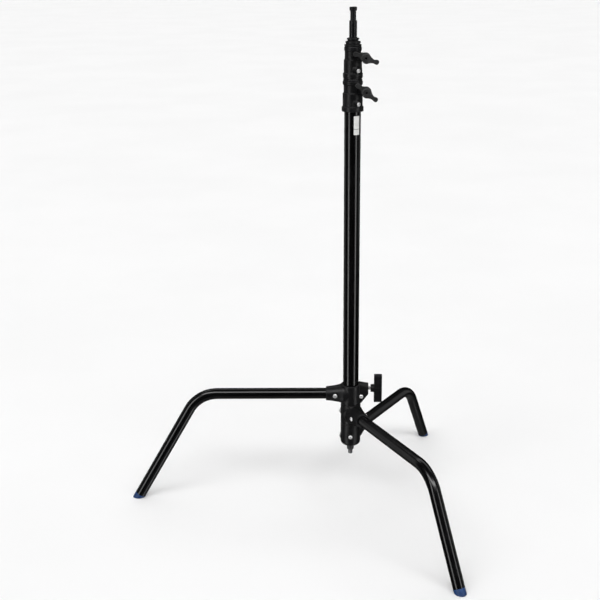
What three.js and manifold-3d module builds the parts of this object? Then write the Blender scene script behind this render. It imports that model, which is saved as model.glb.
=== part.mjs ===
// A C-stand: a three-section mast on three nested bent legs, the top leg of which slides and
// swings on the column. Millimetres, +Z up, the origin on the floor at the middle of the
// stand's own bounding box. Inside the model the column's axis is x = 0, y = 0.

import * as THREE from 'three';
import { ConvexGeometry } from 'three/addons/geometries/ConvexGeometry.js';
import { mergeVertices } from 'three/addons/utils/BufferGeometryUtils.js';
import Module from 'manifold-3d';

const wasm = await Module();
wasm.setup();

// ---------------------------------------------------------------- driving dimensions

const GAP = 0.3;
const PAST = 5; // how far a cut runs past the face it opens
const THROUGH = 30; // half the length of a hole drilled through a casting
const RECESS_REACH = 40; // where a recess cut inward from outside a casting begins
const ROUND_SIDES = 32;
const RING_SIDES = 24;
const SMALL_SIDES = 14;

const COLUMN = { outer: 17.5, wall: 1.5, bottom: 150, top: 938.5 };
const RISER_1 = { outer: 15, wall: 1.5, bottom: 195, top: 1004.5 };
const RISER_2 = { outer: 12.5, wall: 1.5, bottom: 230, top: 1037.2 };

const LEG_TUBE = { outer: 12.5, wall: 2.5, bendRadius: 76, slope: 60.2, sides: 24, bendSteps: 8 };
const FOOT = { standOff: 10, plugLength: 26 };

const HUB = { outer: 22.7, bore: COLUMN.outer + GAP, bottomRound: 10, roundSteps: 4 };
const SOCKET = { root: 8, rootRadius: 20, endRadius: 15.8, length: 56.6, boltAt: 36, tubeStart: 21 };
const LEG_BOLT = { shank: 2.9, head: 5, headHeight: 2.8, seat: 17.2, seatRadius: 5.8, pastNut: 1.5 };
const LEG_NUT = { radius: 4.9, height: 3.6 };
const THRUST_WASHER = { outer: 22.2, thickness: 0.8 };

const REAR_LEG = { azimuth: 60.7, height: 167.8, corner: 298.7, start: SOCKET.tubeStart };
const FRONT_LEG = { azimuth: -61, height: 215.1, corner: 334.4, start: SOCKET.tubeStart };
const LEFT_LEG = { azimuth: 182.1, height: 262.2, corner: 348.6, start: SOCKET.tubeStart + 2 };

const LOWER_HUB = { bottom: 137, top: 189.7 };
const MIDDLE_HUB = { bottom: 191.1, top: 237.1 };
const UPPER_HUB = { bottom: 238.5, top: 285 };

// Screws in the hubs, each on a low boss.
const HUB_BOSS = { bottom: 18.8, baseRadius: 10.5, topRadius: 6.4, lift: 0.8, seatRadius: 5.2,
  seatLift: 0.1 };
const HUB_SCREW = { shank: 2.4, hole: 2.8 };
const FRONT_SCREW = { azimuth: -90, z: 162, head: 4.5, headHeight: 2 };
const SIDE_SCREW = { azimuth: 180, z: 157, head: 4.2, headHeight: 2.8 };
const STOP_SCREW = { azimuth: 180, z: 219, head: 4.2, headHeight: 3.4 };

const SLEEVE = { inner: COLUMN.outer + GAP, outer: 19.5, bottom: 238.9, top: 284.6 };
const LOBE = { root: 12, bend: 23.4, end: 40, halfWidth: 11.75, rootBottom: 242, endBottom: 264.5,
  shoulderDrop: 8, endShoulder: 9, rootTop: 9, endTop: 4, rootRise: 4.5, endRise: 2 };
const LOBE_SCREW = { x: 24, z: 259, shank: 2.4, head: 4.75, headHeight: 2.4, start: 2 };
const KNOB = { axisZ: 275.2, stud: 3.8, hub: 9.4, hubStart: 45, barStart: 52.8, barEnd: 70.8,
  studStart: 24.3, studEnd: 60 };
// Half of the crossbar's side outline: [height above the screw's axis, half its depth].
const KNOB_OUTLINE = [[0, 8.5], [10, 8.3], [16, 7.4], [22, 6.1], [27.4, 6.6], [30.8, 7.6], [32.1, 6.8]];

const LOWER_CLAMP = { boltX: 29, boltZ: 945.5, wingSlope: 37.5, slitBottom: 935, slitTop: 968 };
const UPPER_CLAMP = { boltX: 27, boltZ: 1015.5, wingSlope: 20.4, slitBottom: 1005, slitTop: 1030 };
const LUG = { root: 10, radius: 8, halfWidth: 14.5, slit: 1.2, slitStart: 5 };
// Depths are distances in front of the column's axis.
const HANDLE = { boss: 7, bossBack: 16.3, wingBack: 24, wingFront: 32, face: 30, boltEnd: 28,
  recess: 2.2, rimPoints: 60 };
// One side of the handle's outline, from above the hub round a wing to below it. The other side
// is the same outline turned half a turn.
const WING_OUTLINE = [[-4, 10.8], [2, 10.6], [7, 7.4], [13, 3.9], [17.5, 3.1], [22, 4.6],
  [26, 4.3], [28, 1], [27, -3.2], [23.5, -5.2], [18, -4.6], [12, -6]];
const CLAMP_BOLT = { radius: 3.3, nut: 5.9, nutHeight: 5, pastNut: 1.5, washer: 7.5, washerTop: 1.5 };

// Collar outlines run up the outside and bores are [radius, bottom, top].
const LOWER_COLLAR = {
  outline: [[23, 904], [23, 913.9], [21, 914.8], [21, 942.2], [19, 943], [19, 958.8],
    [21, 959.6], [21, 966.6]],
  bores: [[COLUMN.outer + GAP, 900, COLUMN.top + GAP], [16.9, 930, 970]],
};
const UPPER_COLLAR = {
  outline: [[20.1, 971.9], [20.1, 974.8], [20.8, 975.6], [20.8, 983], [18.9, 983.8],
    [18.9, 1010.4], [17.1, 1011.2], [17.1, 1028.4]],
  bores: [[RISER_1.outer + GAP, 960, RISER_1.top + GAP], [14.2, 1000, 1035]],
};
const LOWER_BUSH = { inner: 15.3, sleeve: 16.6, ring: 20.1, bottom: 940, collarTop: 966.6, top: 971.2 };
const UPPER_BUSH = { inner: 12.8, sleeve: 13.9, ring: 18.2, bottom: 1007, collarTop: 1028.4, top: 1037.2 };

const FIXING = { azimuth: -55, head: 4.75, shank: 2.8, bossBase: 13.5, bossTop: 6.5, lift: 0.3 };
const LOWER_FIXING = { z: 920, seat: 21, boss: 23, shankEnd: 18.1 };
const UPPER_FIXING = { z: 988.6, seat: 18.9, boss: 20.9, shankEnd: 15.7 };

const GUIDE_BUSH = { wall: 2.5, headHeight: 9 };
const RISER_1_GUIDE = { head: 15.7, plugHeight: 20 };
const RISER_2_GUIDE = { head: 13.2, plugHeight: 15 };

const STUD = { radius: 5, bottom: 112, headBottom: 172, headTop: 178, head: 8 };
const BOTTOM_PLUG = { bottom: COLUMN.bottom + GAP, top: STUD.headBottom - GAP };
const BOTTOM_NUT = { radius: 8.1, bottom: 123.2, top: 134.7 };
const BOTTOM_WASHER = { outer: 9.2, bottom: 135, top: 136.7 };

// The stepped fitting on the top riser, up the outside above its plug.
const FITTING = { plugBottom: 1002, bore: 8.2 };
const FITTING_STEPS = [[17.2, 1037.5], [17.2, 1038.3], [17.9, 1038.9], [17.9, 1040.9], [14.6, 1042.2],
  [14.6, 1043.3], [15.7, 1043.9], [15.7, 1047.6], [10.8, 1048.9], [10.8, 1050.1], [12.8, 1050.8],
  [12.8, 1053.8], [9.5, 1055]];
const SPIGOT = { radius: 8, neck: 6, head: 7.75, bottom: 1010, neckBottom: 1089.8, neckTop: 1107.8,
  headBottom: 1109.8, top: 1116.3, chamfer: 0.8, shoulder: 1.5 };
const LABEL = { azimuth: -60, width: 13, bottom: 856, top: 895.5, thickness: 0.4, lift: 0.1,
  segments: 12 };

// ---------------------------------------------------------------- materials

const paint = (color, roughness, metalness) => () => (
  new THREE.MeshStandardMaterial({ color, roughness, metalness })
);
const blackTube = paint(0x0b0b0c, 0.22, 0.3);
const blackCasting = paint(0x17171a, 0.55, 0.2);
const blackPlastic = paint(0x101012, 0.6, 0);
const steel = paint(0xb9bbbe, 0.35, 1);
const blackNylon = paint(0x141415, 0.65, 0);
const nylon = paint(0xd8d6cf, 0.6, 0);
const bluePlastic = paint(0x1b4b87, 0.5, 0);
const whiteLabel = paint(0xe8e8e6, 0.6, 0);

// ---------------------------------------------------------------- solids

function toSolid(geometry) {
  const bare = geometry.clone();
  bare.deleteAttribute('normal');
  bare.deleteAttribute('uv');
  const merged = mergeVertices(bare, 1e-4);
  const corners = merged.index.array;
  const triangles = [];
  for (let i = 0; i < corners.length; i += 3) {
    const [a, b, c] = [corners[i], corners[i + 1], corners[i + 2]];
    if (a !== b && b !== c && c !== a) triangles.push(a, b, c);
  }
  return new wasm.Manifold(new wasm.Mesh({
    numProp: 3,
    vertProperties: new Float32Array(merged.attributes.position.array),
    triVerts: new Uint32Array(triangles),
  }));
}

function toGeometry(solid) {
  const mesh = solid.getMesh();
  const geometry = new THREE.BufferGeometry();
  geometry.setAttribute('position', new THREE.BufferAttribute(mesh.vertProperties, 3));
  geometry.setIndex(new THREE.BufferAttribute(mesh.triVerts, 1));
  geometry.computeVertexNormals();
  return geometry;
}

function combine(base, additions = [], cuts = []) {
  let solid = toSolid(base);
  for (const addition of additions) solid = solid.add(toSolid(addition));
  for (const cut of cuts) solid = solid.subtract(toSolid(cut));
  return toGeometry(solid);
}

const radians = THREE.MathUtils.degToRad;

// Revolves [radius, z] points, listed up the outside, about the Z axis.
function revolve(points, sides = ROUND_SIDES) {
  const profile = points.map(([radius, z]) => new THREE.Vector2(radius, z));
  return new THREE.LatheGeometry(profile, sides).rotateX(Math.PI / 2);
}

function ring(inner, outer, bottom, top, sides = RING_SIDES) {
  return revolve([[inner, bottom], [outer, bottom], [outer, top], [inner, top], [inner, bottom]], sides);
}

// A cylinder or hexagonal bar about the Z axis.
function bar(radius, bottom, top, sides = SMALL_SIDES) {
  const geometry = new THREE.CylinderGeometry(radius, radius, top - bottom, sides);
  return geometry.rotateX(Math.PI / 2).translate(0, 0, (bottom + top) / 2);
}

// A round boss about the Z axis that narrows outward.
function boss(baseRadius, topRadius, bottom, top) {
  return revolve([[0, bottom], [baseRadius, bottom], [topRadius, top], [0, top]], RING_SIDES);
}

// A shape about the Z axis turned to lie level across the column, pointing to the front.
function forward(geometry, x, z) {
  return geometry.rotateX(Math.PI / 2).translate(x, 0, z);
}

// A shape about the Z axis turned to stand out of the column at an azimuth and a height.
function outward(geometry, azimuth, z) {
  return geometry.rotateY(Math.PI / 2).rotateZ(radians(azimuth)).translate(0, 0, z);
}

function block(x0, x1, y0, y1, z0, z1) {
  const geometry = new THREE.BoxGeometry(x1 - x0, y1 - y0, z1 - z0);
  return geometry.translate((x0 + x1) / 2, (y0 + y1) / 2, (z0 + z1) / 2);
}

function hexNut(radius, boltRadius, bottom, top) {
  const bore = bar(boltRadius + GAP, bottom - PAST, top + PAST);
  return combine(bar(radius, bottom, top, 6), [], [bore]);
}

function screwOutward(azimuth, z, shankEnd, seat, shank, head, headHeight) {
  const geometry = revolve([
    [0, shankEnd],
    [shank, shankEnd],
    [shank, seat],
    [head, seat],
    [head, seat + headHeight * 0.7],
    [head * 0.8, seat + headHeight],
    [0, seat + headHeight],
  ], SMALL_SIDES);
  return outward(geometry, azimuth, z);
}

// ---------------------------------------------------------------- legs

// The centre line of a leg in its own vertical plane: level, one bend, then down to the foot.
// Each straight is one step and the bend is an equal step for each bendStep.
class LegLine extends THREE.Curve {
  constructor(leg) {
    super();
    const slope = radians(LEG_TUBE.slope);
    const setback = LEG_TUBE.bendRadius * Math.tan(slope / 2);
    const length = leg.height / Math.sin(slope) - FOOT.standOff;
    this.slope = slope;
    this.start = leg.start;
    this.height = leg.height;
    this.bendStart = leg.corner - setback;
    this.endX = leg.corner + length * Math.cos(slope);
    this.endZ = leg.height - length * Math.sin(slope);
  }

  getPoint(t) {
    const step = t * (LEG_TUBE.bendSteps + 2);
    const turn = this.slope * THREE.MathUtils.clamp((step - 1) / LEG_TUBE.bendSteps, 0, 1);
    const radius = LEG_TUBE.bendRadius;
    const point = new THREE.Vector3(
      this.bendStart + radius * Math.sin(turn),
      0,
      this.height - radius * (1 - Math.cos(turn)),
    );
    if (step < 1) point.x = THREE.MathUtils.lerp(this.start, this.bendStart, step);
    const run = step - 1 - LEG_TUBE.bendSteps;
    if (run > 0) point.lerp(new THREE.Vector3(this.endX, 0, this.endZ), run);
    return point;
  }

  getUtoTmapping(u) {
    return u;
  }
}

function legTube(leg) {
  const section = new THREE.Shape().absarc(0, 0, LEG_TUBE.outer, 0, Math.PI * 2);
  section.holes.push(new THREE.Path().absarc(0, 0, LEG_TUBE.outer - LEG_TUBE.wall, 0, Math.PI * 2));
  const tube = new THREE.ExtrudeGeometry(section, {
    extrudePath: new LegLine(leg),
    steps: LEG_TUBE.bendSteps + 2,
    curveSegments: LEG_TUBE.sides / 2,
  });
  const boltHole = bar(LEG_BOLT.shank + GAP, -THROUGH, THROUGH);
  return combine(tube, [], [forward(boltHole, SOCKET.boltAt, leg.height)]).rotateZ(radians(leg.azimuth));
}

// A plug in the tube's end whose wedge is cut level with the floor.
function foot(leg) {
  const slope = radians(LEG_TUBE.slope);
  const alongLeg = (geometry) => geometry
    .rotateY(slope - Math.PI / 2)
    .translate(leg.corner + leg.height / Math.tan(slope), 0, 0);
  const top = FOOT.standOff - GAP;
  const wedge = alongLeg(bar(LEG_TUBE.outer, -THROUGH, top, LEG_TUBE.sides));
  const plugRadius = LEG_TUBE.outer - LEG_TUBE.wall - GAP;
  const plug = alongLeg(bar(plugRadius, top - 1, top + FOOT.plugLength, LEG_TUBE.sides));
  const floor = block(0, 2 * leg.corner, -THROUGH, THROUGH, -2 * THROUGH, 0);
  return combine(wedge, [plug], [floor]).rotateZ(radians(leg.azimuth));
}

// Bolts lie across the socket, level, with the head on the side given by turn.
function legBolt(leg, turn) {
  const end = -LEG_BOLT.seat - GAP - LEG_NUT.height - LEG_BOLT.pastNut;
  const bolt = screwOutward(turn, leg.height, end, LEG_BOLT.seat + GAP, LEG_BOLT.shank,
    LEG_BOLT.head, LEG_BOLT.headHeight);
  return bolt.translate(SOCKET.boltAt, 0, 0).rotateZ(radians(leg.azimuth));
}

function legNut(leg, turn) {
  const seat = -LEG_BOLT.seat - GAP;
  const nut = hexNut(LEG_NUT.radius, LEG_BOLT.shank, seat - LEG_NUT.height, seat);
  return outward(nut, turn, leg.height).translate(SOCKET.boltAt, 0, 0).rotateZ(radians(leg.azimuth));
}

// ---------------------------------------------------------------- base castings

// The tapered arm that holds a leg, in the leg's own vertical plane, and what is cut from it.
function socketArm(leg) {
  const taper = (SOCKET.rootRadius - SOCKET.endRadius) / (SOCKET.length - HUB.outer);
  const rootRadius = SOCKET.rootRadius + (HUB.outer - SOCKET.root) * taper;
  const length = SOCKET.length - SOCKET.root;
  const arm = new THREE.CylinderGeometry(SOCKET.endRadius, rootRadius, length, ROUND_SIDES);
  arm.rotateZ(-Math.PI / 2).translate(SOCKET.root + length / 2, 0, leg.height);
  return arm.rotateZ(radians(leg.azimuth));
}

function socketCuts(leg) {
  const tubeBore = bar(LEG_TUBE.outer + GAP, leg.start - GAP, SOCKET.length + PAST, ROUND_SIDES);
  const boltHole = bar(LEG_BOLT.shank + GAP, -THROUGH, THROUGH);
  const cuts = [
    outward(tubeBore, 0, leg.height),
    forward(boltHole, SOCKET.boltAt, leg.height),
  ];
  for (const side of [-1, 1]) {
    const seat = bar(LEG_BOLT.seatRadius, LEG_BOLT.seat, THROUGH).rotateX(side * Math.PI / 2);
    cuts.push(seat.translate(SOCKET.boltAt, 0, leg.height));
  }
  return cuts.map((cut) => cut.rotateZ(radians(leg.azimuth)));
}

function hubBoss(screw) {
  const mound = boss(HUB_BOSS.baseRadius, HUB_BOSS.topRadius, HUB_BOSS.bottom, HUB.outer + HUB_BOSS.lift);
  return outward(mound, screw.azimuth, screw.z);
}

function hubScrewCuts(screw) {
  const seat = HUB.outer + HUB_BOSS.seatLift;
  return [
    outward(bar(HUB_BOSS.seatRadius, seat, RECESS_REACH), screw.azimuth, screw.z),
    outward(bar(HUB_SCREW.hole, HUB.bore - PAST, RECESS_REACH), screw.azimuth, screw.z),
  ];
}

function hubScrew(screw) {
  const seat = HUB.outer + HUB_BOSS.seatLift + GAP;
  return screwOutward(screw.azimuth, screw.z, HUB.bore + GAP, seat, HUB_SCREW.shank,
    screw.head, screw.headHeight);
}

// The outline of the lowest hub, rounded underneath, round a hole for the bolt and the column.
function lowerHubProfile() {
  const round = HUB.bottomRound;
  const hole = STUD.radius + GAP;
  const floor = COLUMN.bottom - GAP;
  const profile = [[hole, LOWER_HUB.bottom]];
  for (let i = 0; i <= HUB.roundSteps; i += 1) {
    const angle = (i / HUB.roundSteps) * Math.PI / 2;
    profile.push([
      HUB.outer - round + round * Math.sin(angle),
      LOWER_HUB.bottom + round * (1 - Math.cos(angle)),
    ]);
  }
  profile.push(
    [HUB.outer, LOWER_HUB.top],
    [HUB.bore, LOWER_HUB.top],
    [HUB.bore, floor],
    [hole, floor],
    [hole, LOWER_HUB.bottom],
  );
  return profile;
}

function lowerCasting() {
  return combine(
    revolve(lowerHubProfile()),
    [socketArm(REAR_LEG), hubBoss(FRONT_SCREW), hubBoss(SIDE_SCREW)],
    [
      bar(HUB.bore, COLUMN.bottom - GAP, LOWER_HUB.top + PAST, ROUND_SIDES),
      ...socketCuts(REAR_LEG),
      ...hubScrewCuts(FRONT_SCREW),
      ...hubScrewCuts(SIDE_SCREW),
    ],
  );
}

function middleCasting() {
  return combine(
    bar(HUB.outer, MIDDLE_HUB.bottom, MIDDLE_HUB.top, ROUND_SIDES),
    [socketArm(FRONT_LEG), hubBoss(STOP_SCREW)],
    [
      bar(HUB.bore, MIDDLE_HUB.bottom - PAST, MIDDLE_HUB.top + PAST, ROUND_SIDES),
      ...socketCuts(FRONT_LEG),
      ...hubScrewCuts(STOP_SCREW),
    ],
  );
}

// The nose that carries the lock screw, opposite the left leg. It narrows upward and outward.
function clampLobe() {
  const { root, bend, end, halfWidth, rootBottom, endBottom } = LOBE;
  const shoulder = UPPER_HUB.top - LOBE.shoulderDrop;
  const corners = [
    [root, halfWidth, rootBottom],
    [bend, halfWidth, rootBottom],
    [end, halfWidth, endBottom],
    [root, halfWidth, shoulder],
    [end, LOBE.endShoulder, shoulder],
    [root, LOBE.rootTop, UPPER_HUB.top + LOBE.rootRise],
    [end, LOBE.endTop, UPPER_HUB.top + LOBE.endRise],
  ];
  const points = corners.flatMap(([x, y, z]) => [new THREE.Vector3(x, y, z), new THREE.Vector3(x, -y, z)]);
  return new ConvexGeometry(points);
}

function upperCasting() {
  const sleeveBore = bar(SLEEVE.outer + GAP, UPPER_HUB.bottom - PAST, UPPER_HUB.top + PAST, ROUND_SIDES);
  const studBore = bar(KNOB.stud + GAP, SLEEVE.inner, LOBE.end + PAST);
  const screwHole = bar(LOBE_SCREW.shank + GAP, 1, THROUGH);
  return combine(
    bar(HUB.outer, UPPER_HUB.bottom, UPPER_HUB.top, ROUND_SIDES),
    [socketArm(LEFT_LEG), clampLobe()],
    [
      sleeveBore,
      ...socketCuts(LEFT_LEG),
      outward(studBore, 0, KNOB.axisZ),
      forward(screwHole, LOBE_SCREW.x, LOBE_SCREW.z),
    ],
  );
}

function lobeScrew() {
  const { start, shank, head, headHeight } = LOBE_SCREW;
  const screw = screwOutward(-90, LOBE_SCREW.z, start, LOBE.halfWidth + GAP, shank, head, headHeight);
  return screw.translate(LOBE_SCREW.x, 0, 0);
}

// ---------------------------------------------------------------- leg lock knob

// A crossbar, waisted towards each end, with a round hub through it.
function lockKnob() {
  const upper = KNOB_OUTLINE.map(([height, half]) => [half, height]);
  const lower = KNOB_OUTLINE.slice(1).reverse().map(([height, half]) => [half, -height]);
  const front = [...lower, ...upper];
  const back = front.map(([half, height]) => [-half, height]).reverse();
  const outline = new THREE.Shape([...front, ...back].map(([y, z]) => new THREE.Vector2(y, z)));
  const crossbar = new THREE.ExtrudeGeometry(outline, {
    depth: KNOB.barEnd - KNOB.barStart, bevelEnabled: false,
  });
  crossbar.rotateZ(Math.PI / 2).rotateY(Math.PI / 2).translate(KNOB.barStart, 0, KNOB.axisZ);
  const hub = outward(bar(KNOB.hub, KNOB.hubStart, KNOB.barEnd), 0, KNOB.axisZ);
  const bore = outward(bar(KNOB.stud + GAP, KNOB.hubStart - PAST, KNOB.studEnd + GAP), 0, KNOB.axisZ);
  return combine(crossbar, [hub], [bore]);
}

// ---------------------------------------------------------------- mast clamps

function lug(clamp) {
  const reach = clamp.boltX;
  const side = new THREE.Shape();
  side.moveTo(LUG.root, -LUG.radius);
  side.lineTo(reach, -LUG.radius);
  side.absarc(reach, 0, LUG.radius, -Math.PI / 2, Math.PI / 2);
  side.lineTo(LUG.root, LUG.radius);
  const shape = new THREE.ExtrudeGeometry(side, {
    depth: 2 * LUG.halfWidth, bevelEnabled: false, curveSegments: SMALL_SIDES,
  });
  return shape.rotateX(Math.PI / 2).translate(0, LUG.halfWidth, clamp.boltZ);
}

function fixingBoss(fixing) {
  const mound = boss(FIXING.bossBase, FIXING.bossTop, fixing.shankEnd, fixing.boss);
  return outward(mound, FIXING.azimuth, fixing.z);
}

function collarCuts(clamp, fixing) {
  const slitEnd = clamp.boltX + 2 * LUG.radius;
  return [
    block(LUG.slitStart, slitEnd, -LUG.slit, LUG.slit, clamp.slitBottom, clamp.slitTop),
    forward(bar(CLAMP_BOLT.radius + GAP, -THROUGH, THROUGH), clamp.boltX, clamp.boltZ),
    outward(bar(FIXING.head + GAP, fixing.seat, RECESS_REACH), FIXING.azimuth, fixing.z),
    outward(bar(FIXING.shank + GAP, fixing.shankEnd - PAST, RECESS_REACH), FIXING.azimuth, fixing.z),
  ];
}

function collar({ outline, bores }, clamp, fixing) {
  const bottom = outline[0][1];
  const top = outline[outline.length - 1][1];
  return combine(
    revolve([[0, bottom], ...outline, [0, top]]),
    [lug(clamp), fixingBoss(fixing)],
    [
      ...bores.map(([radius, low, high]) => bar(radius, low, high, ROUND_SIDES)),
      ...collarCuts(clamp, fixing),
    ],
  );
}

// A plastic bush: a thin sleeve inside the collar under a ring that covers its top.
function collarBush(bush) {
  const seat = bush.collarTop + GAP;
  return revolve([
    [bush.inner, bush.bottom],
    [bush.sleeve, bush.bottom],
    [bush.sleeve, seat],
    [bush.ring, seat],
    [bush.ring, bush.top],
    [bush.inner, bush.top],
    [bush.inner, bush.bottom],
  ]);
}

function fixingScrew(fixing) {
  const headHeight = fixing.boss + FIXING.lift - fixing.seat;
  return screwOutward(FIXING.azimuth, fixing.z, fixing.shankEnd, fixing.seat + GAP, FIXING.shank,
    FIXING.head, headHeight);
}

function wingBlade(clamp) {
  const outline = [...WING_OUTLINE, ...WING_OUTLINE.map(([u, v]) => [-u, -v])];
  const points = outline.map(([u, v]) => new THREE.Vector3(u, v, 0));
  const rim = new THREE.CatmullRomCurve3(points, true).getPoints(HANDLE.rimPoints).slice(0, -1);
  const shape = new THREE.Shape(rim.map((point) => new THREE.Vector2(point.x, point.y)));
  const blade = new THREE.ExtrudeGeometry(shape, {
    depth: HANDLE.wingFront - HANDLE.wingBack, bevelEnabled: false,
  });
  blade.rotateZ(radians(-clamp.wingSlope)).translate(0, 0, HANDLE.wingBack);
  return forward(blade, clamp.boltX, clamp.boltZ);
}

function clampHandle(clamp) {
  const place = (geometry) => forward(geometry, clamp.boltX, clamp.boltZ);
  const hub = place(bar(HANDLE.boss, HANDLE.bossBack, HANDLE.face));
  const boltBore = place(bar(CLAMP_BOLT.radius + GAP, 0, HANDLE.boltEnd));
  const recess = place(bar(HANDLE.recess, HANDLE.face, RECESS_REACH));
  return combine(wingBlade(clamp), [hub], [boltBore, recess]);
}

function handleBolt(clamp) {
  const end = LUG.halfWidth + GAP + CLAMP_BOLT.nutHeight + CLAMP_BOLT.pastNut;
  return forward(bar(CLAMP_BOLT.radius, -end, HANDLE.boltEnd - GAP), clamp.boltX, clamp.boltZ);
}

function handleWasher(clamp) {
  const washer = ring(CLAMP_BOLT.radius + GAP, CLAMP_BOLT.washer, LUG.halfWidth + GAP,
    LUG.halfWidth + CLAMP_BOLT.washerTop, SMALL_SIDES);
  return forward(washer, clamp.boltX, clamp.boltZ);
}

function clampNut(clamp) {
  const face = -LUG.halfWidth - GAP;
  const nut = hexNut(CLAMP_BOLT.nut, CLAMP_BOLT.radius, face - CLAMP_BOLT.nutHeight, face);
  return forward(nut, clamp.boltX, clamp.boltZ);
}

// ---------------------------------------------------------------- mast

function mastTube(tube) {
  return ring(tube.outer - tube.wall, tube.outer, tube.bottom, tube.top, ROUND_SIDES);
}

// A hollow plug in a riser's lower end, with a head that runs in the tube around the riser.
function guideBush(tube, guide) {
  const plug = tube.outer - tube.wall - GAP;
  const inner = plug - GUIDE_BUSH.wall;
  const underTube = tube.bottom - GAP;
  return revolve([
    [inner, underTube - GUIDE_BUSH.headHeight],
    [guide.head, underTube - GUIDE_BUSH.headHeight],
    [guide.head, underTube],
    [plug, underTube],
    [plug, tube.bottom + guide.plugHeight],
    [inner, tube.bottom + guide.plugHeight],
    [inner, underTube - GUIDE_BUSH.headHeight],
  ], RING_SIDES);
}

function topFitting() {
  const plug = RISER_2.outer - RISER_2.wall - GAP;
  const boreFloor = SPIGOT.bottom - GAP;
  const [, rim] = FITTING_STEPS[FITTING_STEPS.length - 1];
  return revolve([
    [0, FITTING.plugBottom],
    [plug, FITTING.plugBottom],
    [plug, RISER_2.top + GAP],
    ...FITTING_STEPS,
    [FITTING.bore, rim],
    [FITTING.bore, boreFloor],
    [0, boreFloor],
  ], RING_SIDES);
}

function spigot() {
  return revolve([
    [0, SPIGOT.bottom],
    [SPIGOT.radius, SPIGOT.bottom],
    [SPIGOT.radius, SPIGOT.neckBottom - SPIGOT.shoulder],
    [SPIGOT.neck, SPIGOT.neckBottom],
    [SPIGOT.neck, SPIGOT.neckTop],
    [SPIGOT.head, SPIGOT.headBottom],
    [SPIGOT.head, SPIGOT.top - SPIGOT.chamfer],
    [SPIGOT.head - SPIGOT.chamfer, SPIGOT.top],
    [0, SPIGOT.top],
  ], RING_SIDES);
}

function labelPlate() {
  const inner = COLUMN.outer + LABEL.lift;
  const half = LABEL.width / 2 / inner;
  const middle = radians(LABEL.azimuth);
  const outline = new THREE.Shape();
  outline.absarc(0, 0, inner + LABEL.thickness, middle - half, middle + half);
  outline.absarc(0, 0, inner, middle + half, middle - half, true);
  const plate = new THREE.ExtrudeGeometry(outline, {
    depth: LABEL.top - LABEL.bottom, bevelEnabled: false, curveSegments: LABEL.segments,
  });
  return plate.translate(0, 0, LABEL.bottom);
}

// ---------------------------------------------------------------- assembly

const stand = new THREE.Group();

function add(name, geometry, material) {
  const mesh = new THREE.Mesh(geometry, material());
  mesh.name = name;
  stand.add(mesh);
}

function addLeg(name, leg, boltTurn) {
  add(`${name}_leg_tube`, legTube(leg), blackTube);
  add(`${name}_leg_foot`, foot(leg), bluePlastic);
  add(`${name}_leg_bolt`, legBolt(leg, boltTurn), steel);
  add(`${name}_leg_nut`, legNut(leg, boltTurn), steel);
}

function addClamp(name, clamp, fixing) {
  add(`${name}_collar_screw`, fixingScrew(fixing), steel);
  add(`${name}_clamp_nut`, clampNut(clamp), steel);
  add(`${name}_handle`, clampHandle(clamp), blackCasting);
  add(`${name}_handle_bolt`, handleBolt(clamp), steel);
  add(`${name}_handle_washer`, handleWasher(clamp), steel);
}

function addThrustWasher(name, below) {
  const bottom = below.top + GAP;
  const washer = ring(HUB.bore, THRUST_WASHER.outer, bottom, bottom + THRUST_WASHER.thickness);
  add(name, washer, blackNylon);
}

add('column_tube', mastTube(COLUMN), blackTube);
add('bottom_plug', ring(STUD.radius + GAP, COLUMN.outer - COLUMN.wall - GAP, BOTTOM_PLUG.bottom,
  BOTTOM_PLUG.top), blackPlastic);
add('bottom_bolt', combine(
  bar(STUD.radius, STUD.bottom, STUD.headTop),
  [bar(STUD.head, STUD.headBottom, STUD.headTop, 6)],
), steel);
add('bottom_nut', hexNut(BOTTOM_NUT.radius, STUD.radius, BOTTOM_NUT.bottom, BOTTOM_NUT.top), steel);
add('bottom_washer', ring(STUD.radius + GAP, BOTTOM_WASHER.outer, BOTTOM_WASHER.bottom,
  BOTTOM_WASHER.top), steel);
add('label', labelPlate(), whiteLabel);

add('lower_casting', lowerCasting(), blackCasting);
add('lower_casting_front_screw', hubScrew(FRONT_SCREW), steel);
add('lower_casting_side_screw', hubScrew(SIDE_SCREW), steel);
addThrustWasher('lower_thrust_washer', LOWER_HUB);
add('middle_casting', middleCasting(), blackCasting);
add('middle_casting_screw', hubScrew(STOP_SCREW), steel);
addThrustWasher('upper_thrust_washer', MIDDLE_HUB);
add('leg_sleeve', ring(SLEEVE.inner, SLEEVE.outer, SLEEVE.bottom, SLEEVE.top), blackNylon);
add('upper_casting', upperCasting(), blackCasting);
add('upper_casting_screw', lobeScrew(), steel);

addLeg('rear', REAR_LEG, 90);
addLeg('front', FRONT_LEG, -90);
addLeg('left', LEFT_LEG, 90);

const padEnd = KNOB.studStart - GAP;
add('brake_pad', outward(bar(KNOB.stud, SLEEVE.outer + 2 * GAP, padEnd), 0, KNOB.axisZ), nylon);
add('lock_knob_stud', outward(bar(KNOB.stud, KNOB.studStart, KNOB.studEnd), 0, KNOB.axisZ), steel);
add('lock_knob', lockKnob(), blackPlastic);

add('lower_collar', collar(LOWER_COLLAR, LOWER_CLAMP, LOWER_FIXING), blackCasting);
add('lower_collar_bush', collarBush(LOWER_BUSH), blackPlastic);
addClamp('lower', LOWER_CLAMP, LOWER_FIXING);

add('riser_1_tube', mastTube(RISER_1), blackTube);
add('riser_1_guide_bush', guideBush(RISER_1, RISER_1_GUIDE), nylon);
add('upper_collar', collar(UPPER_COLLAR, UPPER_CLAMP, UPPER_FIXING), blackCasting);
add('upper_collar_bush', collarBush(UPPER_BUSH), blackPlastic);
addClamp('upper', UPPER_CLAMP, UPPER_FIXING);

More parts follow.
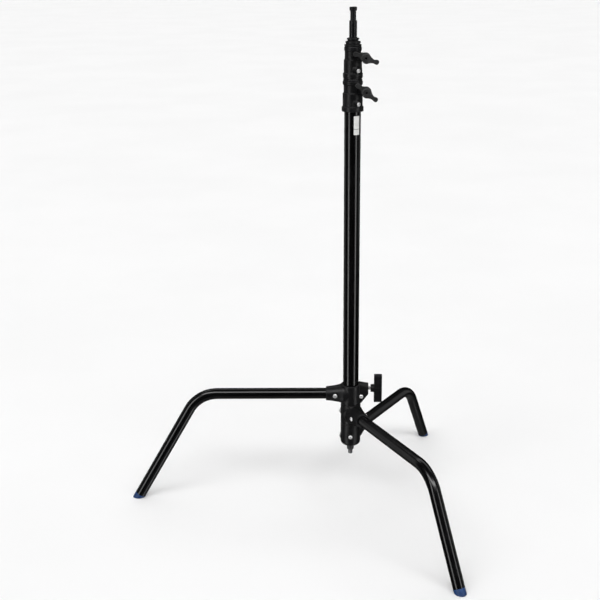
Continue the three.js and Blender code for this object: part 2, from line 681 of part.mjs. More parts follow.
add('riser_2_tube', mastTube(RISER_2), blackTube);
add('riser_2_guide_bush', guideBush(RISER_2, RISER_2_GUIDE), nylon);
add('top_fitting', topFitting(), blackCasting);
add('spigot', spigot(), blackTube);

const middle = new THREE.Box3().setFromObject(stand, true).getCenter(new THREE.Vector3());
stand.position.set(-middle.x, -middle.y, 0);

const group = new THREE.Group();
group.add(stand);

export default group;
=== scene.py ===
import math

import bmesh
import bpy
from mathutils import Matrix, Vector


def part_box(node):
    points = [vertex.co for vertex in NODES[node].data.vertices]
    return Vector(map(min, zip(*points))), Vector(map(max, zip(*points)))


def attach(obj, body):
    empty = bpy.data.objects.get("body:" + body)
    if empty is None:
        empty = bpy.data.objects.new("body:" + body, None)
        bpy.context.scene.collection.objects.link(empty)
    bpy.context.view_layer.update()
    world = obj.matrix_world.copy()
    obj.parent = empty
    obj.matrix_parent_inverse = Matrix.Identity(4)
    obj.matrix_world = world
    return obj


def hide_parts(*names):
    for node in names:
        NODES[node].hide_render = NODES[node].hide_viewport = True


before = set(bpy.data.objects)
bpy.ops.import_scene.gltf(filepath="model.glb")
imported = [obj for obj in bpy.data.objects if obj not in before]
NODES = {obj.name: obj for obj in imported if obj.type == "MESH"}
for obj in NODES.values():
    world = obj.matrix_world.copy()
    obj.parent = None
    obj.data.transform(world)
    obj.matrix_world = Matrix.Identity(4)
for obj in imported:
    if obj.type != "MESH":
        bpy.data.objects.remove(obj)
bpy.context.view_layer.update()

# A C-stand: a column on three folding legs, two risers with their clamps, and a top pin.
# Shapes are made in millimetres about the mast's axis, with z = 0 on the floor, and moved to
# the row frame, in metres, when each piece is finished.
MM = 0.001


def column_axis():
    """The foot of the mast's axis, on the floor of the row frame."""
    low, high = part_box("column_tube")
    return Vector(((low.x + high.x) / 2, (low.y + high.y) / 2, 0))


AXIS = column_axis()
TO_ROW = Matrix.Translation(AXIS) @ Matrix.Scale(MM, 4)


def limits(node):
    """A CAD node's lowest and highest corner, in millimetres about the mast's axis."""
    low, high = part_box(node)
    return (low - AXIS) / MM, (high - AXIS) / MM


# ------------------------------------------------------------------ sizes, in millimetres

GAP = 0.3
COLUMN_R, RISER_1_R, RISER_2_R = 17.5, 15.0, 12.5
WALL = 1.5

LEG_R, LEG_WALL, LEG_BEND, LEG_SLOPE = 12.5, 2.5, 76.0, math.radians(60.2)
FOOT_STAND_OFF = 10.0
LEGS = {
    "rear": {"azimuth": 60.7, "height": 167.8, "corner": 298.7, "start": 21.0, "body": "base"},
    "front": {"azimuth": -61.0, "height": 215.1, "corner": 334.4, "start": 21.0,
              "body": "middle_leg"},
    "left": {"azimuth": 182.1, "height": 262.2, "corner": 348.6, "start": 23.0,
             "body": "top_leg"},
}
BOLT_SIDE = {"rear": 1, "front": -1, "left": 1}

HUB_R, HUB_BORE, SLEEVE_R = 22.7, 17.8, 19.5
SOCKET_LENGTH, SOCKET_ROOT_R, SOCKET_END_R, SOCKET_BOLT_AT = 56.6, 20.0, 15.8, 36.0
SOCKET_SEAT = 17.2
LOBE_END, LOBE_HALF, LOBE_END_BOTTOM, LOBE_ROOT_BOTTOM = 40.0, 11.75, 264.5, 242.0
KNOB_Z = 275.2

CLAMPS = {
    "lower": {"x": 29.0, "z": 945.5, "slope": 37.5, "slit": (935.0, 972.0), "body": "base",
              "handle_body": "lower_clamp_handle", "screw_z": 920.0, "seat": 21.0, "boss": 23.0,
              "mound": 18.1},
    "upper": {"x": 27.0, "z": 1015.5, "slope": 20.4, "slit": (1005.0, 1036.0), "body": "riser_1",
              "handle_body": "upper_clamp_handle", "screw_z": 988.6, "seat": 18.9, "boss": 20.9,
              "mound": 15.7},
}
LUG_R, LUG_HALF, SLIT_HALF = 8.0, 14.5, 1.2
FIXING_AZIMUTH = -55.0
WING_BACK, WING_FRONT = 24.0, 32.0
BOLT_END = 22.0  # the clamp bolt stops here, under a deep round recess in the handle
HANDLE_RECESS_R = 2.4

THROUGH, OUTSIDE, PAST = 30.0, 40.0, 10.0  # cutters reach through, outside or past a part
LEG_BOLT = {"head": 5.0, "height": 2.8, "shank": 2.9, "hole": 3.2, "tail": 4.5, "key": 2.0,
            "seat": 5.8, "nut": 4.9, "nut_height": 3.6}
FOOT_PLUG, FOOT_EDGE, UNDER_FLOOR = 26.0, 0.9, 30.0

LOWER_HUB, MIDDLE_HUB, UPPER_HUB = (137.0, 189.7), (191.1, 237.1), (238.5, 285.0)
HUB_FLOOR, HUB_EDGE = 149.7, 1.2
HUB_BOSS = {"start": 18.8, "root": 10.5, "top": 6.4, "lift": 0.8}
HUB_SCREW = {"recess": 5.2, "seat": HUB_R + 0.1, "shank": 2.4, "length": 4.0, "hole": 2.8,
             "hole_start": 10.0}
NOSE_SCREW = {"x": 24.0, "z": 259.0, "head": 4.75, "height": 2.4, "shank": 2.4, "length": 9.5,
              "key": 2.1, "hole": 2.7, "hole_start": 1.0}
KNOB_BACK, KNOB_FRONT = 52.8, 70.8
KNOB_STUD = {"radius": 3.8, "hole": 4.1, "start": 24.3, "end": 60.0}

BOTTOM_BOLT = {"radius": 5.0, "core": 4.7, "hole": 5.3, "end": 112.0, "thread": (113.0, 148.0),
               "head": 8.0, "head_z": (172.3, 178.0)}
BOTTOM_NUT = {"radius": 8.1, "z": (123.2, 134.7)}
BOTTOM_WASHER = {"radius": 9.2, "z": (135.0, 136.7)}

CLAMP_BOLT = {"radius": 3.3, "hole": 3.6, "tail": -21.0, "washer": 7.5, "washer_end": 1.5,
              "nut": 5.9, "nut_height": 5.0}
FIXING = {"head": 4.75, "recess": 5.1, "shank": 2.8, "length": 2.0, "key": 2.1, "hole": 3.1,
          "hole_start": 10.0, "root": 13.5, "top": 6.5}


# ------------------------------------------------------------------ mesh tools

def turned(azimuth=0.0, z=0.0, x=0.0):
    """Carries a shape about +Z to one that points outward at an azimuth, at a height."""
    around = Matrix.Rotation(math.radians(azimuth), 4, "Z")
    return Matrix.Translation((0, 0, z)) @ around @ Matrix.Translation((x, 0, 0)) \
        @ Matrix.Rotation(math.pi / 2, 4, "Y")


def facing(x, z, side=1):
    """Carries a shape about +Z to one that points forward, along -Y, from (x, 0, z).

    With side=-1 it points back.
    """
    return Matrix.Translation((x, 0, z)) @ Matrix.Rotation(side * math.pi / 2, 4, "X")


def rounded(points, radius=0.6, steps=4, closed=False):
    """A profile with its corners rounded. A point may carry its own radius as a third number."""
    out = []
    count = len(points)
    for i, point in enumerate(points):
        here = Vector(point[:2])
        bend = point[2] if len(point) > 2 else radius
        if (not closed and i in (0, count - 1)) or bend <= 0:
            out.append(here)
            continue
        to_last = Vector(points[i - 1][:2]) - here
        to_next = Vector(points[(i + 1) % count][:2]) - here
        angle = to_last.angle(to_next)
        if angle > math.pi - 0.02:
            out.append(here)
            continue
        reach = min(bend / math.tan(angle / 2), to_last.length * 0.48, to_next.length * 0.48)
        first = here + to_last.normalized() * reach
        last = here + to_next.normalized() * reach
        for k in range(steps + 1):
            s = k / steps
            out.append(first * (1 - s) ** 2 + here * 2 * s * (1 - s) + last * s * s)
    return out


def revolve(profile, sides=96, closed=False):
    """A solid of revolution about Z from (radius, z) points. Its ends lie on the axis unless closed."""
    bm = bmesh.new()
    rings = []
    for radius, z in profile:
        if radius < 1e-6:
            rings.append([bm.verts.new((0, 0, z))])
            continue
        steps = [2 * math.pi * k / sides for k in range(sides)]
        rings.append([bm.verts.new((radius * math.cos(a), radius * math.sin(a), z)) for a in steps])
    pairs = list(zip(rings, rings[1:]))
    if closed:
        pairs.append((rings[-1], rings[0]))
    for low, high in pairs:
        for k in range(sides):
            n = (k + 1) % sides
            corners = [low[k % len(low)], low[n % len(low)], high[n % len(high)], high[k % len(high)]]
            corners = list(dict.fromkeys(corners))
            if len(corners) > 2:
                bm.faces.new(corners)
    bmesh.ops.recalc_face_normals(bm, faces=bm.faces)
    return bm


def rod(radius, z0, z1, sides=64, edge=0.0):
    return revolve(rounded([(0, z0), (radius, z0), (radius, z1), (0, z1)], edge, 3), sides)


def pipe(inner, outer, z0, z1, edge=0.4, sides=96):
    points = [(inner, z0), (outer, z0), (outer, z1), (inner, z1)]
    return revolve(rounded(points, edge, 3, closed=True), sides, closed=True)


def prism(outline, y0, y1):
    """An outline of (x, z) points carried along Y."""
    bm = bmesh.new()
    near = [bm.verts.new((x, y0, z)) for x, z in outline]
    far = [bm.verts.new((x, y1, z)) for x, z in outline]
    bm.faces.new(near)
    bm.faces.new(list(reversed(far)))
    for k in range(len(outline)):
        n = (k + 1) % len(outline)
        bm.faces.new((near[n], near[k], far[k], far[n]))
    bmesh.ops.recalc_face_normals(bm, faces=bm.faces)
    return bm


def box(x0, x1, y0, y1, z0, z1):
    return prism([(x0, z0), (x1, z0), (x1, z1), (x0, z1)], y0, y1)


def moved(bm, matrix):
    bmesh.ops.transform(bm, matrix=matrix, verts=bm.verts)
    return bm


def scratch(bm):
    """A working object, in millimetres, for the modifiers."""
    mesh = bpy.data.meshes.new("scratch")
    bm.to_mesh(mesh)
    bm.free()
    obj = bpy.data.objects.new("scratch", mesh)
    bpy.context.scene.collection.objects.link(obj)
    return obj


def take(obj):
    """The working object's mesh with its modifiers applied, as a bmesh. The object goes."""
    bpy.context.view_layer.update()
    graph = bpy.context.evaluated_depsgraph_get()
    mesh = bpy.data.meshes.new_from_object(obj.evaluated_get(graph))
    bm = bmesh.new()
    bm.from_mesh(mesh)
    bpy.data.meshes.remove(mesh)
    bpy.data.objects.remove(obj)
    return bm


def joined(parts):
    bm = bmesh.new()
    for part in parts:
        mesh = bpy.data.meshes.new("part")
        part.to_mesh(mesh)
        part.free()
        bm.from_mesh(mesh)
        bpy.data.meshes.remove(mesh)
    return bm


def cast(parts, voxel, smooth):
    """Overlapping solids run together as one casting, with its edges and inner corners eased."""
    obj = scratch(joined(parts))
    remesh = obj.modifiers.new("remesh", "REMESH")
    remesh.mode = "VOXEL"
    remesh.voxel_size = voxel
    easing = obj.modifiers.new("smooth", "SMOOTH")
    easing.factor = 0.5
    easing.iterations = smooth
    return take(obj)


def cut(bm, tools, operation="DIFFERENCE"):
    obj = scratch(bm)
    helpers = [scratch(tool) for tool in tools]
    for helper in helpers:
        modifier = obj.modifiers.new("cut", "BOOLEAN")
        modifier.operation = operation
        modifier.solver = "MANIFOLD"
        modifier.object = helper
    result = take(obj)
    for helper in helpers:
        bpy.data.objects.remove(helper)
    return result


def piece(name, bm, body, finish, nodes, crease=32.0):
    """A finished piece in the row frame: it rides on its body and stands for its CAD nodes."""
    moved(bm, TO_ROW)
    mesh = bpy.data.meshes.new(name)
    bm.to_mesh(mesh)
    bm.free()
    mesh.shade_smooth()
    mesh.set_sharp_from_angle(angle=math.radians(crease))
    mesh.materials.append(finish)
    obj = bpy.data.objects.new(name, mesh)
    bpy.context.scene.collection.objects.link(obj)
    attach(obj, body)
    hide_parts(*nodes)
    return obj


# ------------------------------------------------------------------ materials

class Nodes:
    """A short way to write a node tree."""

    def add(self, kind, **settings):
        node = self.tree.nodes.new(kind)
        for key, value in settings.items():
            setattr(node, key, value)
        return node

    def link(self, output, socket):
        self.tree.links.new(output, socket)

    def spread(self, value, low, high, to_low, to_high):
        """A value between low and high carried to the range to_low to to_high, eased at its ends."""
        node = self.add("ShaderNodeMapRange", interpolation_type="SMOOTHSTEP")
        for key, number in zip(("From Min", "From Max", "To Min", "To Max"),
                               (low, high, to_low, to_high)):
            node.inputs[key].default_value = number
        self.link(value, node.inputs["Value"])
        return node.outputs["Result"]


class Graph(Nodes):
    """A material's nodes."""

    def __init__(self, name):
        self.material = bpy.data.materials.new(name)
        self.material.use_nodes = True
        self.tree = self.material.node_tree
        self.shader = self.tree.nodes["Principled BSDF"]
        self.place = self.add("ShaderNodeTexCoord").outputs["Object"]

    def noise(self, size, detail=3.0, rough=0.55, stretch=(1, 1, 1)):
        """Noise whose blotches are about size metres across, longer where stretch is small."""
        mapping = self.add("ShaderNodeMapping")
        mapping.inputs["Scale"].default_value = stretch
        self.link(self.place, mapping.inputs["Vector"])
        node = self.add("ShaderNodeTexNoise")
        node.inputs["Scale"].default_value = 1 / size
        node.inputs["Detail"].default_value = detail
        node.inputs["Roughness"].default_value = rough
        self.link(mapping.outputs["Vector"], node.inputs["Vector"])
        return node.outputs["Fac"]

    def times(self, a, b):
        node = self.add("ShaderNodeMath", operation="MULTIPLY")
        self.link(a, node.inputs[0])
        self.link(b, node.inputs[1])
        return node.outputs[0]

    def mix(self, share, a, b):
        node = self.add("ShaderNodeMix", data_type="RGBA")
        self.link(share, node.inputs["Factor"])
        for value, socket in ((a, node.inputs[6]), (b, node.inputs[7])):
            if isinstance(value, tuple):
                socket.default_value = (*value, 1)
            else:
                self.link(value, socket)
        return node.outputs[2]

    def bump(self, height, depth, onto=None):
        node = self.add("ShaderNodeBump")
        node.inputs["Distance"].default_value = depth
        self.link(height, node.inputs["Height"])
        if onto is not None:
            self.link(onto, node.inputs["Normal"])
        return node.outputs["Normal"]

    def edges(self, low, high):
        """High where the surface bends outward, broken up by noise."""
        bend = self.add("ShaderNodeNewGeometry").outputs["Pointiness"]
        return self.times(self.spread(bend, low, high, 0, 1),
                          self.spread(self.noise(0.004, 4), 0.42, 0.6, 0, 1))


def shaded(color, by):
    return tuple(min(1.0, c * by) for c in color)


def coat(name, color, roughness, grain, grain_depth, blotch=0.05, worn=None, metallic=0.0,
         edge=(0.53, 0.6), specular=0.5):
    """Paint or powder coat: slow colour drift, patchy gloss, a fine skin, and wear at edges."""
    g = Graph(name)
    tint = g.mix(g.spread(g.noise(blotch), 0.35, 0.65, 0, 1), shaded(color, 0.8), shaded(color, 1.25))
    dust = g.spread(g.noise(blotch / 12, 6, 0.7), 0.62, 0.78, 0, 0.35)
    tint = g.mix(dust, tint, shaded(color, 3.0))
    if worn is not None:
        tint = g.mix(g.edges(*edge), tint, worn)
    g.link(tint, g.shader.inputs["Base Color"])
    patches = g.noise(blotch / 3, 4, 0.6)
    g.link(g.spread(patches, 0.3, 0.7, roughness - 0.06, roughness + 0.06),
           g.shader.inputs["Roughness"])
    skin = g.bump(g.noise(grain, 2, 0.5), grain_depth)
    g.link(skin, g.shader.inputs["Normal"])
    g.shader.inputs["Metallic"].default_value = metallic
    g.shader.inputs["Specular IOR Level"].default_value = specular
    return g.material


def tube_black():
    """Gloss black coat on drawn tube: orange peel, faint scratches along the tube."""
    g = Graph("tube_gloss_black")
    color = (0.0016, 0.0016, 0.0018)
    tint = g.mix(g.spread(g.noise(0.09), 0.35, 0.65, 0, 1), shaded(color, 0.75), shaded(color, 1.4))
    g.link(tint, g.shader.inputs["Base Color"])
    scratch_lines = g.spread(g.noise(0.0011, 5, 0.75, (1, 1, 0.02)), 0.6, 0.8, 0, 0.1)
    smears = g.spread(g.noise(0.03, 4, 0.6), 0.35, 0.7, 0.16, 0.24)
    total = g.add("ShaderNodeMath", operation="ADD")
    g.link(scratch_lines, total.inputs[0])
    g.link(smears, total.inputs[1])
    g.link(total.outputs[0], g.shader.inputs["Roughness"])
    peel = g.bump(g.noise(0.0035, 1, 0.4), 0.00003)
    g.link(g.bump(g.noise(0.0005, 2, 0.5), 0.000004, peel), g.shader.inputs["Normal"])
    return g.material


def plated_steel(name, dull, bright, metallic):
    """Zinc plate with fine turning marks, duller in patches."""
    g = Graph(name)
    tint = g.mix(g.spread(g.noise(0.004, 5), 0.35, 0.65, 0, 1), dull, bright)
    g.link(tint, g.shader.inputs["Base Color"])
    g.link(g.spread(g.noise(0.0012, 5, 0.7), 0.3, 0.7, 0.25, 0.45), g.shader.inputs["Roughness"])
    g.link(g.bump(g.noise(0.0004, 3, 0.6), 0.00001), g.shader.inputs["Normal"])
    g.shader.inputs["Metallic"].default_value = metallic
    return g.material


def label_film():
    """Blank white film with a plain grey rule along its lower third."""
    g = Graph("white_film")
    parts = g.add("ShaderNodeSeparateXYZ")
    g.link(g.place, parts.inputs[0])
    low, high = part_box("label")
    rule = low.z + (high.z - low.z) * 0.3
    band = g.times(g.spread(parts.outputs["Z"], rule - 0.0008, rule - 0.0004, 0, 1),
                   g.spread(parts.outputs["Z"], rule + 0.0004, rule + 0.0008, 1, 0))
    paper = g.mix(g.spread(g.noise(0.01), 0.3, 0.7, 0, 1), (0.62, 0.62, 0.6), (0.74, 0.74, 0.72))
    g.link(g.mix(band, paper, (0.2, 0.2, 0.2)), g.shader.inputs["Base Color"])
    g.link(g.spread(g.noise(0.003), 0.3, 0.7, 0.35, 0.5), g.shader.inputs["Roughness"])
    g.link(g.bump(g.noise(0.0006), 0.000006), g.shader.inputs["Normal"])
    return g.material


def blue_plastic():
    """Moulded blue plastic, scuffed grey near the floor."""
    g = Graph("foot_blue_plastic")
    tint = g.mix(g.spread(g.noise(0.012), 0.3, 0.7, 0, 1), (0.004, 0.027, 0.10), (0.008, 0.045, 0.16))
    parts = g.add("ShaderNodeSeparateXYZ")
    g.link(g.place, parts.inputs[0])
    near_floor = g.spread(parts.outputs["Z"], 0.0, 0.004, 1, 0)
    scuff = g.times(near_floor, g.spread(g.noise(0.0015, 5, 0.7), 0.45, 0.65, 0, 0.7))
    g.link(g.mix(scuff, tint, (0.12, 0.14, 0.17)), g.shader.inputs["Base Color"])
    g.link(g.spread(g.noise(0.003, 4), 0.3, 0.7, 0.38, 0.55), g.shader.inputs["Roughness"])
    g.link(g.bump(g.noise(0.0004, 2), 0.00001), g.shader.inputs["Normal"])
    return g.material


TUBE = tube_black()
CAST = coat("casting_satin_black", (0.005, 0.005, 0.0055), 0.4, 0.0009, 0.0001, specular=0.3,
            worn=(0.03, 0.03, 0.031), edge=(0.51, 0.56))
# Matt black for the wing handles. Its colour is set lighter than the collars' paint, and that extra
# lightness is painted light for the flat faces the handles turn to the camera.
HANDLE = coat("handle_black_painted_light", (0.017, 0.017, 0.0175), 0.5, 0.0008, 0.00006, blotch=0.02,
              worn=(0.05, 0.05, 0.051), edge=(0.51, 0.56))
PLASTIC = coat("moulded_black_plastic", (0.005, 0.005, 0.006), 0.42, 0.0005, 0.00003, blotch=0.03,
               worn=(0.02, 0.02, 0.022), edge=(0.51, 0.56), specular=0.25)
PIN = coat("satin_black_plate", (0.006, 0.006, 0.007), 0.3, 0.0006, 0.00001, blotch=0.02,
           worn=(0.16, 0.155, 0.15), metallic=0.4)
NYLON = coat("natural_nylon", (0.62, 0.6, 0.54), 0.5, 0.0006, 0.00001, blotch=0.01)
BLACK_NYLON = coat("black_nylon", (0.012, 0.012, 0.012), 0.55, 0.0006, 0.00001, blotch=0.01)
STEEL = plated_steel("bright_zinc_steel", (0.62, 0.62, 0.63), (0.86, 0.86, 0.85), 0.55)
ZINC = plated_steel("dull_zinc_steel", (0.09, 0.09, 0.095), (0.2, 0.2, 0.2), 0.7)
BLUE = blue_plastic()
LABEL = label_film()


# ------------------------------------------------------------------ small hardware

def hex_outline(radius, turn=0.0):
    return [(radius * math.cos(math.pi / 3 * k + turn), radius * math.sin(math.pi / 3 * k + turn))
            for k in range(6)]


def hex_bar(radius, z0, z1, turn=0.0):
    return moved(prism(hex_outline(radius, turn), -z1, -z0), Matrix.Rotation(-math.pi / 2, 4, "X"))


def socket_screw(head, height, shank, length, key):
    """A button-head screw about Z: its head stands on z = 0 and its shank goes down."""
    body = revolve(rounded([
        (0, -length), (shank, -length, 0.5), (shank, 0, 0.2), (head, 0, 0.3),
        (head, height * 0.45, head * 0.5), (head * 0.62, height, 0.5), (0, height),
    ], 0.3, 5), 64)
    return cut(body, [hex_bar(key, height * 0.25, height + 2)])


def hex_nut(radius, bore, z0, z1):
    """A nut with chamfered corners and a plain bore."""
    middle = (z0 + z1) / 2
    turned_blank = revolve(rounded([
        (0, z0), (radius * 0.9, z0), (radius * 1.01, z0 + radius * 0.09),
        (radius * 1.01, z1 - radius * 0.09), (radius * 0.9, z1), (0, z1),
    ], 0.15, 2), 72)
    blank = cut(hex_bar(radius, z0 - 1, z1 + 1, 0.2), [turned_blank], "INTERSECT")
    relief = revolve([(0, z0 - 1), (bore + 1.4, z0 - 1), (bore, z0 + 0.5), (bore, middle),
                      (bore, z1 - 0.5), (bore + 1.4, z1 + 1), (0, z1 + 1)], 64)
    return cut(blank, [relief])


def threaded(radius, z0, z1, pitch=1.5, depth=0.5):
    """A rod with a fine row of thread ridges."""
    points = [(0, z0), (radius - depth, z0)]
    turns = int((z1 - z0) / pitch)
    for k in range(turns):
        base = z0 + k * pitch + pitch * 0.25
        points += [(radius - depth, base), (radius, base + pitch * 0.5)]
    points += [(radius - depth, z1), (0, z1)]
    return revolve(points, 48)


# ------------------------------------------------------------------ legs

def leg_direction(leg):
    return Matrix.Rotation(math.radians(leg["azimuth"]), 4, "Z")


def leg_line(leg, bend_steps=36):
    """Points and directions down the middle of a leg, in its own upright plane."""
    setback = LEG_BEND * math.tan(LEG_SLOPE / 2)
    bend_start = leg["corner"] - setback
    length = leg["height"] / math.sin(LEG_SLOPE) - FOOT_STAND_OFF
    line = [((leg["start"], leg["height"]), 0.0)]
    for k in range(bend_steps + 1):
        turn = LEG_SLOPE * k / bend_steps
        line.append(((bend_start + LEG_BEND * math.sin(turn),
                      leg["height"] - LEG_BEND * (1 - math.cos(turn))), turn))
    end = (leg["corner"] + length * math.cos(LEG_SLOPE), leg["height"] - length * math.sin(LEG_SLOPE))
    line.append((end, LEG_SLOPE))
    return line


def swept(line, radii, sides=72):
    """A closed wall swept along a line. Each of its radii says whether it runs backwards."""
    bm = bmesh.new()
    loops = []
    for radius, backwards in radii:
        stations = list(reversed(line)) if backwards else line
        for (x, z), turn in stations:
            ring = []
            for k in range(sides):
                angle = 2 * math.pi * k / sides
                up, side = radius * math.cos(angle), radius * math.sin(angle)
                ring.append(bm.verts.new((x + up * math.sin(turn), side, z + up * math.cos(turn))))
            loops.append(ring)
    for a, b in zip(loops, loops[1:] + loops[:1]):
        for k in range(sides):
            n = (k + 1) % sides
            bm.faces.new((a[k], a[n], b[n], b[k]))
    bmesh.ops.recalc_face_normals(bm, faces=bm.faces)
    return bm


def leg_tube(name, leg):
    line = leg_line(leg)
    tube = swept(line, [(LEG_R, False), (LEG_R - LEG_WALL, True)])
    hole = moved(rod(LEG_BOLT["hole"], -THROUGH, THROUGH), facing(SOCKET_BOLT_AT, leg["height"]))
    tube = moved(cut(tube, [hole]), leg_direction(leg))
    piece(f"{name}_leg", tube, leg["body"], TUBE, [f"{name}_leg_tube"])


def foot(name, leg):
    """A moulded plug: a shouldered wedge flush with the tube, cut level with the floor."""
    floor_x = leg["corner"] + leg["height"] / math.tan(LEG_SLOPE)
    lean = Matrix.Translation((floor_x, 0, 0)) @ Matrix.Rotation(LEG_SLOPE - math.pi / 2, 4, "Y")
    inner = LEG_R - LEG_WALL - GAP
    top = FOOT_STAND_OFF - GAP
    profile = rounded([(0, -UNDER_FLOOR), (LEG_R, -UNDER_FLOOR), (LEG_R, top, 0.5),
                       (inner, top, 0.2), (inner, top + FOOT_PLUG, 1.5), (0, top + FOOT_PLUG)],
                      0.5, 4)
    blank = moved(revolve(profile, 72), lean)
    geometry = blank.verts[:] + blank.edges[:] + blank.faces[:]
    found = bmesh.ops.bisect_plane(blank, geom=geometry, plane_co=(0, 0, 0), plane_no=(0, 0, 1),
                                   clear_inner=True)
    rim = [e for e in found["geom_cut"] if isinstance(e, bmesh.types.BMEdge)]
    bmesh.ops.contextual_create(blank, geom=rim)
    rim = [e for e in blank.edges if all(abs(v.co.z) < 1e-4 for v in e.verts)]
    bmesh.ops.bevel(blank, geom=rim, offset=FOOT_EDGE, segments=4, profile=0.5, affect="EDGES")
    blank = moved(blank, leg_direction(leg))
    piece(f"{name}_foot", blank, leg["body"], BLUE, [f"{name}_leg_foot"])


def leg_hardware(name, leg):
    """The bolt across the socket and the nut on its far side."""
    across = leg_direction(leg) @ facing(SOCKET_BOLT_AT, leg["height"], -BOLT_SIDE[name])
    seat = SOCKET_SEAT + GAP
    bolt = socket_screw(LEG_BOLT["head"], LEG_BOLT["height"], LEG_BOLT["shank"],
                        2 * seat + LEG_BOLT["tail"], LEG_BOLT["key"])
    bolt = moved(bolt, across @ Matrix.Translation((0, 0, seat)))
    piece(f"{name}_leg_cross_bolt", bolt, leg["body"], STEEL, [f"{name}_leg_bolt"])
    nut = hex_nut(LEG_BOLT["nut"], LEG_BOLT["hole"], -seat - LEG_BOLT["nut_height"], -seat)
    nut = moved(nut, across)
    piece(f"{name}_leg_lock_nut", nut, leg["body"], STEEL, [f"{name}_leg_nut"])


# ------------------------------------------------------------------ base castings

def socket_arm(leg):
    """The tapered arm that holds a leg, flared where it meets its hub."""
    taper = (SOCKET_ROOT_R - SOCKET_END_R) / (SOCKET_LENGTH - HUB_R)
    root = 6.0
    arm = revolve([(0, root), (SOCKET_ROOT_R + (HUB_R - root) * taper, root),
                   (SOCKET_ROOT_R + 3.2, 17.0), (SOCKET_ROOT_R + 0.7, 25.0),
                   (SOCKET_END_R + 1.6, 43.0), (SOCKET_END_R + 0.2, SOCKET_LENGTH),
                   (0, SOCKET_LENGTH)], 96)
    return moved(arm, turned(leg["azimuth"], leg["height"]))


def socket_cuts(leg):
    """The leg's bore, the hole for its bolt and a flat seat at each end of that hole."""
    bore = rod(LEG_R + 0.2, leg["start"] - GAP, SOCKET_LENGTH + OUTSIDE)
    cuts = [moved(bore, turned(leg["azimuth"], leg["height"]))]
    hole = rod(LEG_BOLT["hole"], -THROUGH, THROUGH)
    cuts.append(moved(hole, leg_direction(leg) @ facing(SOCKET_BOLT_AT, leg["height"])))
    for side in (-1, 1):
        seat = rod(LEG_BOLT["seat"], SOCKET_SEAT, THROUGH)
        cuts.append(moved(seat, leg_direction(leg) @ facing(SOCKET_BOLT_AT, leg["height"], side)))
    return cuts


def hub(ends, bottom_round, top_round):
    bottom, top = ends
    return revolve(rounded([(0, bottom), (HUB_R, bottom, bottom_round), (HUB_R, top, top_round),
                            (0, top)], 1.0, 8), 120)


def hub_boss(screw):
    """A low round mound on the hub under a screw."""
    start, top = HUB_BOSS["start"], HUB_R + HUB_BOSS["lift"]
    mound = revolve(rounded([(0, start), (HUB_BOSS["root"], start), (HUB_BOSS["top"], top, 0.8),
                             (0, top)], 0.6, 4), 64)
    return moved(mound, turned(screw["azimuth"], screw["z"]))


def hub_screw_cuts(screw):
    place = turned(screw["azimuth"], screw["z"])
    return [moved(rod(HUB_SCREW["recess"], HUB_SCREW["seat"], OUTSIDE), place),
            moved(rod(HUB_SCREW["hole"], HUB_SCREW["hole_start"], OUTSIDE), place)]


CASTING_VOXEL = 0.75
KNOB_VOXEL = 0.5
HUB_SCREWS = {
    "lower_casting_front_screw": {"azimuth": -90, "z": 162.0, "head": 4.5, "height": 2.0,
                                  "body": "base"},
    "lower_casting_side_screw": {"azimuth": 180, "z": 157.0, "head": 4.2, "height": 2.8,
                                 "body": "base"},
    "middle_casting_screw": {"azimuth": 180, "z": 219.0, "head": 4.2, "height": 3.4,
                             "body": "middle_leg"},
}


def hub_screw(name, place):
    screw = socket_screw(place["head"], place["height"], HUB_SCREW["shank"], HUB_SCREW["length"],
                         place["head"] * 0.45)
    screw = moved(screw, turned(place["azimuth"], place["z"], HUB_SCREW["seat"] + GAP))
    piece(f"{name}_head", screw, place["body"], STEEL, [name])


def hull(points):
    """The smallest flat-faced solid around points."""
    bm = bmesh.new()
    for point in points:
        bm.verts.new(point)
    found = bmesh.ops.convex_hull(bm, input=bm.verts)
    spare = [v for v in found["geom_interior"] if isinstance(v, bmesh.types.BMVert)]
    bmesh.ops.delete(bm, geom=spare, context="VERTS")
    bmesh.ops.recalc_face_normals(bm, faces=bm.faces)
    return bm


LOBE_ROOT, LOBE_SHOULDER = 12.0, 277.0
LOBE_CORNERS = [(LOBE_ROOT, LOBE_HALF, LOBE_ROOT_BOTTOM), (23.4, LOBE_HALF, LOBE_ROOT_BOTTOM),
                (LOBE_END, LOBE_HALF, LOBE_END_BOTTOM), (LOBE_ROOT, LOBE_HALF, LOBE_SHOULDER),
                (LOBE_END, 9.0, LOBE_SHOULDER), (LOBE_ROOT, 9.0, 289.5), (LOBE_END, 4.0, 287.0)]
WEB_OUTLINE = [(-8, 284.6), (-20, 284.6), (-33, 279.5), (-20, 270), (-8, 270)]
WEB_HALF = 6.0


def clamp_lobe():
    """The nose that carries the lock screw. It narrows upward and outward."""
    return hull([(x, side * y, z) for x, y, z in LOBE_CORNERS for side in (-1, 1)])


